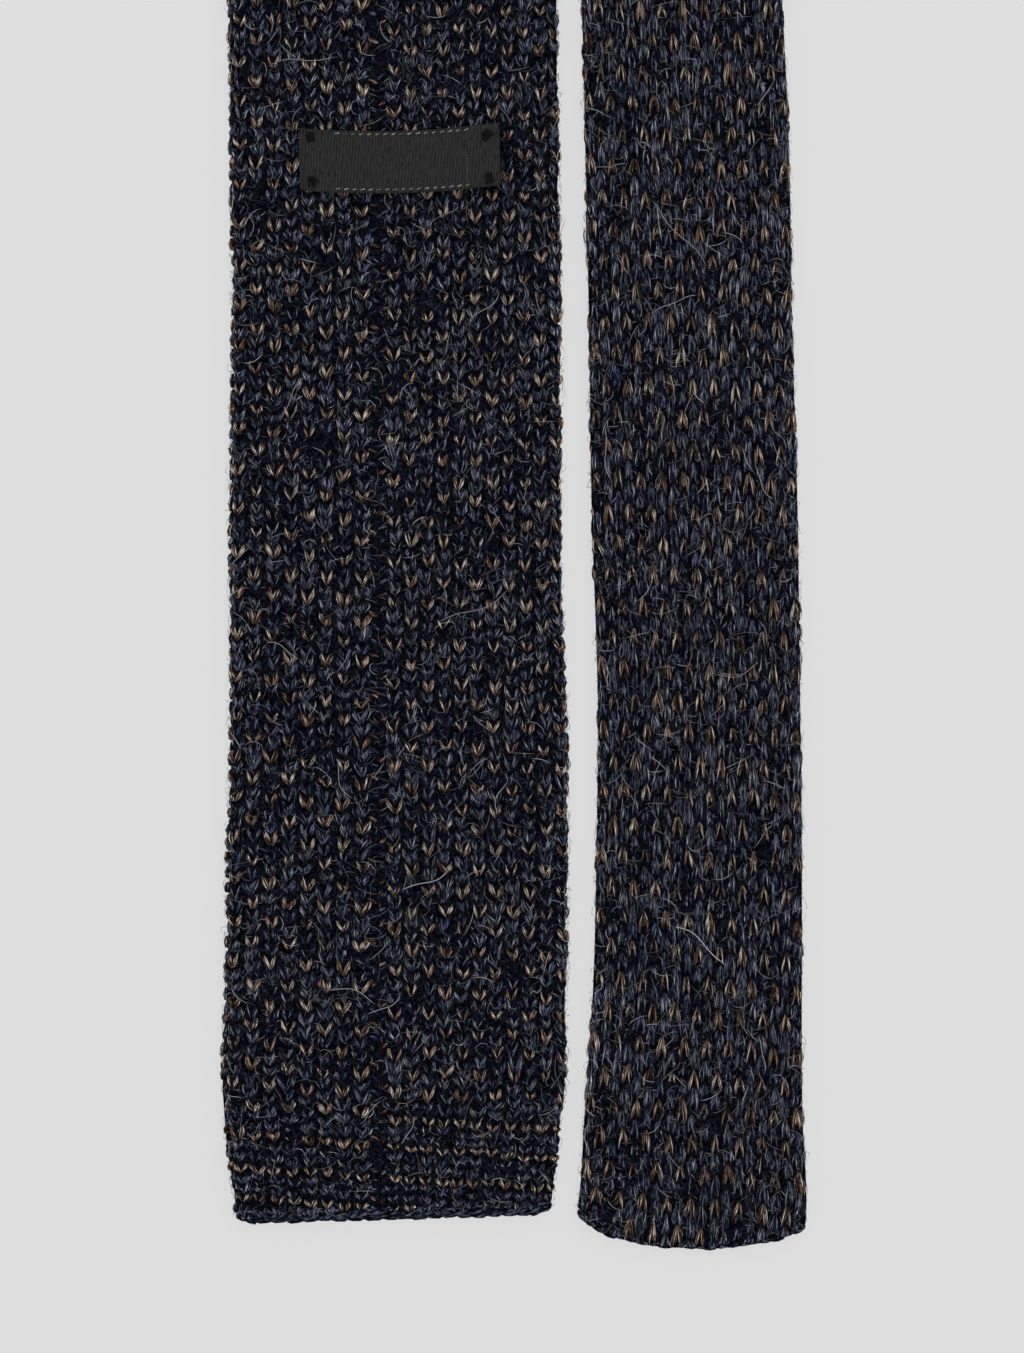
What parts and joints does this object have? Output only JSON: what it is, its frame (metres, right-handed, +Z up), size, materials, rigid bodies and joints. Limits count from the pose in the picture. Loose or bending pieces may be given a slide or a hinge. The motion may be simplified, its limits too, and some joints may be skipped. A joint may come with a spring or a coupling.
{
  "type": "knitted wool tie",
  "caption": "Knitted wool tie laid flat and folded over at the neck, its wide blade back up with a bare label and its narrow blade beside it.",
  "frame": {"origin": "centre of the tie's footprint, on the surface that it lies on", "axes": "+Y from the blade tips to the fold at the neck, +X from the wide blade to the narrow blade, +Z up from the surface"},
  "size_m": [0.1206, 0.7314, 0.0132],
  "materials": {
    "knitted_wool": "dark navy and taupe slip-stitch knit of brushed wool, hairy and matt",
    "woven_label": "finely ribbed charcoal satin ribbon with a broken line of pale picks along each long edge",
    "tack_thread": "black sewing thread"
  },
  "bodies": {
    "root": {"knit_tube": "knitted_wool", "keeper_label": "woven_label", "label_tack_top_left": "tack_thread", "label_tack_low_left": "tack_thread", "label_tack_top_right": "tack_thread", "label_tack_low_right": "tack_thread"}
  },
  "joints": []
}
